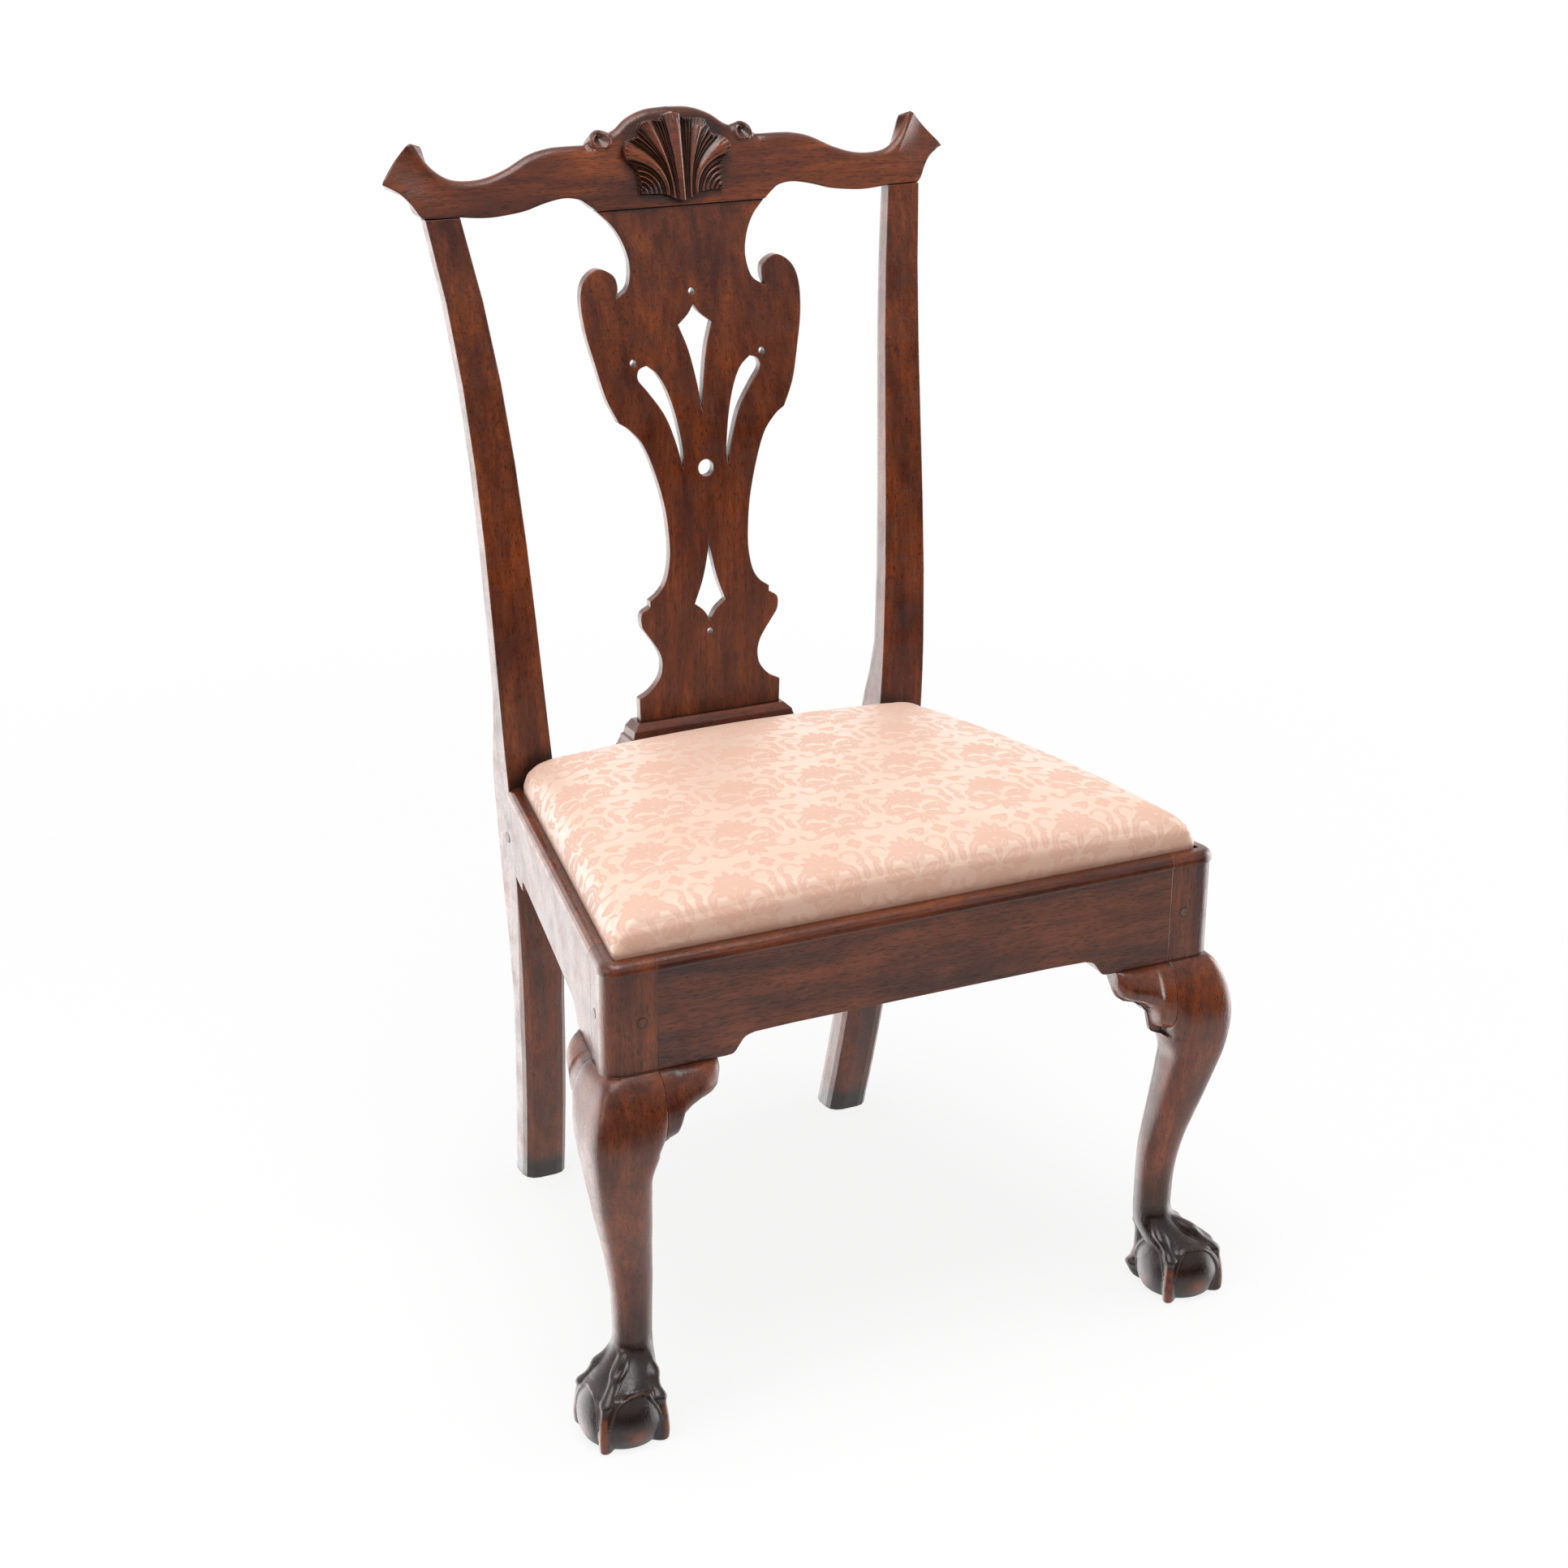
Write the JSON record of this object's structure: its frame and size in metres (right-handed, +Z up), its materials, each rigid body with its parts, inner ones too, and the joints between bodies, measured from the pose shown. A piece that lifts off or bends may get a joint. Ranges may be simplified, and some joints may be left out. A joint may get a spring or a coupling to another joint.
{
  "type": "side chair",
  "caption": "Mahogany side chair with a pierced splat, a shell-carved crest rail with ears, cabriole front legs on ball-and-claw feet and a lift-out padded seat.",
  "frame": {"origin": "on the floor, under the middle of the chair's outer box", "axes": "+Z up, the chair faces -Y, +X is to the right of someone who looks at its front"},
  "size_m": [0.6232, 0.5556, 1.001],
  "materials": {
    "varnished_mahogany": "old glossy varnish",
    "bare_poplar": "unfinished",
    "jute_webbing": "coarse woven",
    "curled_hair": "matted",
    "silk_damask": "woven damask with a soft sheen"
  },
  "bodies": {
    "chair_frame": {"crest_rail": "varnished_mahogany", "splat": "varnished_mahogany", "splat_shoe": "varnished_mahogany", "rear_stile_left": "varnished_mahogany", "rear_stile_right": "varnished_mahogany", "rear_seat_rail": "varnished_mahogany", "front_seat_rail": "varnished_mahogany", "side_seat_rail_left": "varnished_mahogany", "side_seat_rail_right": "varnished_mahogany", "front_leg_left": "varnished_mahogany", "front_leg_right": "varnished_mahogany", "knee_return_front_left": "varnished_mahogany", "knee_return_front_right": "varnished_mahogany", "knee_return_side_left": "varnished_mahogany", "knee_return_side_right": "varnished_mahogany", "front_rail_pin_left": "varnished_mahogany", "front_rail_pin_right": "varnished_mahogany", "side_rail_pin_front_left": "varnished_mahogany", "side_rail_pin_front_right": "varnished_mahogany", "side_rail_pin_rear_left": "varnished_mahogany", "side_rail_pin_rear_right": "varnished_mahogany", "corner_block_front_left": "bare_poplar", "corner_block_front_right": "bare_poplar", "corner_block_rear_left": "bare_poplar", "corner_block_rear_right": "bare_poplar"},
    "slip_seat": {"slip_rail_front": "bare_poplar", "slip_rail_rear": "bare_poplar", "slip_rail_left": "bare_poplar", "slip_rail_right": "bare_poplar", "web_strap_long_1": "jute_webbing", "web_strap_long_2": "jute_webbing", "web_strap_long_3": "jute_webbing", "web_strap_cross_1": "jute_webbing", "web_strap_cross_2": "jute_webbing", "web_strap_cross_3": "jute_webbing", "seat_stuffing": "curled_hair", "seat_cover": "silk_damask"}
  },
  "joints": [
    {"name": "seat_lift", "type": "slide", "parent": "chair_frame", "child": "slip_seat", "axis": [0, 0, 1], "range_m": [0, 0.15]}
  ]
}
